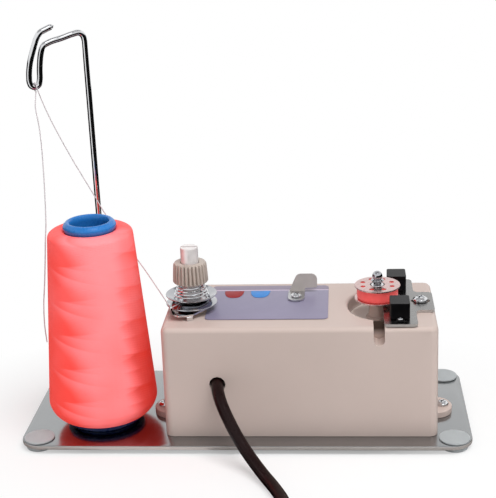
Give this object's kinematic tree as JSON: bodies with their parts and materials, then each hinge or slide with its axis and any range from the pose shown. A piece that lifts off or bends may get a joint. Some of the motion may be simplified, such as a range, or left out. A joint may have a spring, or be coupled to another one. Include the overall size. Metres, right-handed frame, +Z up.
{
  "type": "bobbin winder",
  "caption": "Desk-top bobbin winder: a flat plate carries a boxed motor with a bobbin spindle, disc tension, sensor and keys, a thread cone and a bent wire thread stand.",
  "frame": {"origin": "centre of the base plate's outline, at the level of the feet's undersides", "axes": "+X along the plate from the thread cone to the bobbin, +Y from the viewer's side to the back, +Z up"},
  "size_m": [0.2137, 0.2463, 0.187],
  "materials": {
    "beige_plastic": "fine moulded texture, semi-matt",
    "zinc_steel": "zinc-plated, satin",
    "chrome_steel": "bright plating",
    "clear_rubber": "milky translucent, soft",
    "label_film": "printed film, satin",
    "red_key": "smooth",
    "blue_key": "smooth",
    "black_plastic": "moulded, satin",
    "coral_thread": "wound polyester thread, soft sheen",
    "blue_core": "smooth moulded plastic",
    "circuit_board": "solder mask",
    "copper": "enamelled winding",
    "black_cable": "flexible sheath, satin"
  },
  "bodies": {
    "base": {"case_shell": "beige_plastic", "tension_bush": "beige_plastic", "base_plate": "zinc_steel", "tension_stud": "zinc_steel", "stud_nut": "zinc_steel", "stand_nut_upper": "zinc_steel", "stand_nut_lower": "zinc_steel", "post_screw": "zinc_steel", "motor_bracket": "zinc_steel", "motor_screw_1": "zinc_steel", "motor_screw_2": "zinc_steel", "motor_can": "zinc_steel", "motor_bearing": "zinc_steel", "plug_pin_1": "zinc_steel", "plug_pin_2": "zinc_steel", "power_block": "zinc_steel", "case_screw_left": "chrome_steel", "case_screw_right": "chrome_steel", "thread_cutter": "chrome_steel", "cutter_screw": "chrome_steel", "thread_guide": "chrome_steel", "lower_disc": "chrome_steel", "upper_disc": "chrome_steel", "tension_spring": "chrome_steel", "thread_stand": "chrome_steel", "bracket_screw": "chrome_steel", "foot_front_left": "clear_rubber", "foot_front_right": "clear_rubber", "foot_rear_left": "clear_rubber", "foot_rear_right": "clear_rubber", "label_plate": "label_film", "tension_spacer": "black_plastic", "spool_post": "black_plastic", "lead_clamp": "black_plastic", "lead_tie": "black_plastic", "plug": "black_plastic", "thread_to_loop": "coral_thread", "thread_to_discs": "coral_thread", "key_board": "circuit_board", "control_board": "circuit_board", "mains_lead": "black_cable", "lead_coil": "black_cable", "lead_tail": "black_cable"},
    "spindle_unit": {"spindle": "chrome_steel", "spindle_clip": "chrome_steel", "motor_rotor": "copper"},
    "bobbin_unit": {"bobbin": "zinc_steel", "bobbin_thread": "coral_thread"},
    "start_key": {"start_button": "blue_key"},
    "stop_key": {"stop_button": "red_key"},
    "washer_unit": {"spring_washer": "chrome_steel"},
    "nut_unit": {"tension_nut": "beige_plastic"},
    "sensor_unit": {"sensor_bracket": "chrome_steel", "sensor_emitter": "black_plastic", "sensor_receiver": "black_plastic", "emitter_screw": "chrome_steel", "receiver_screw": "chrome_steel"},
    "cone_unit": {"cone_core": "blue_core", "thread_package": "coral_thread"}
  },
  "joints": [
    {"name": "spindle_spin", "type": "hinge", "parent": "base", "child": "spindle_unit", "pos_m": [0.0617, -0.0024, 0.051], "axis": [0, 0, 1], "continuous": true},
    {"name": "bobbin_lift", "type": "slide", "parent": "spindle_unit", "child": "bobbin_unit", "axis": [0, 0, 1], "range_m": [0, 0.02]},
    {"name": "start_button_press", "type": "slide", "parent": "base", "child": "start_key", "axis": [0, 0, -1], "range_m": [0, 0.0005], "stiffness_N_per_m": 300},
    {"name": "stop_button_press", "type": "slide", "parent": "base", "child": "stop_key", "axis": [0, 0, -1], "range_m": [0, 0.0005], "stiffness_N_per_m": 300},
    {"name": "washer_slide", "type": "slide", "parent": "base", "child": "washer_unit", "axis": [0, 0, 1], "range_m": [-0.00105, 0.00105], "deforming": ["tension_spring"]},
    {"name": "tension_nut_turn", "type": "hinge", "parent": "washer_unit", "child": "nut_unit", "pos_m": [-0.024, -0.008, 0.076], "axis": [0, 0, 1], "range_deg": [-540, 540]},
    {"name": "sensor_adjust", "type": "slide", "parent": "base", "child": "sensor_unit", "axis": [1, 0, 0], "range_m": [-0.002, 0.002]},
    {"name": "cone_lift", "type": "slide", "parent": "base", "child": "cone_unit", "axis": [0, 0, 1], "range_m": [0, 0.0125], "deforming": ["thread_to_loop"]}
  ],
  "couplings": [
    {"joint": "tension_nut_turn", "follows": "washer_slide", "rad_per_m": 8975}
  ]
}
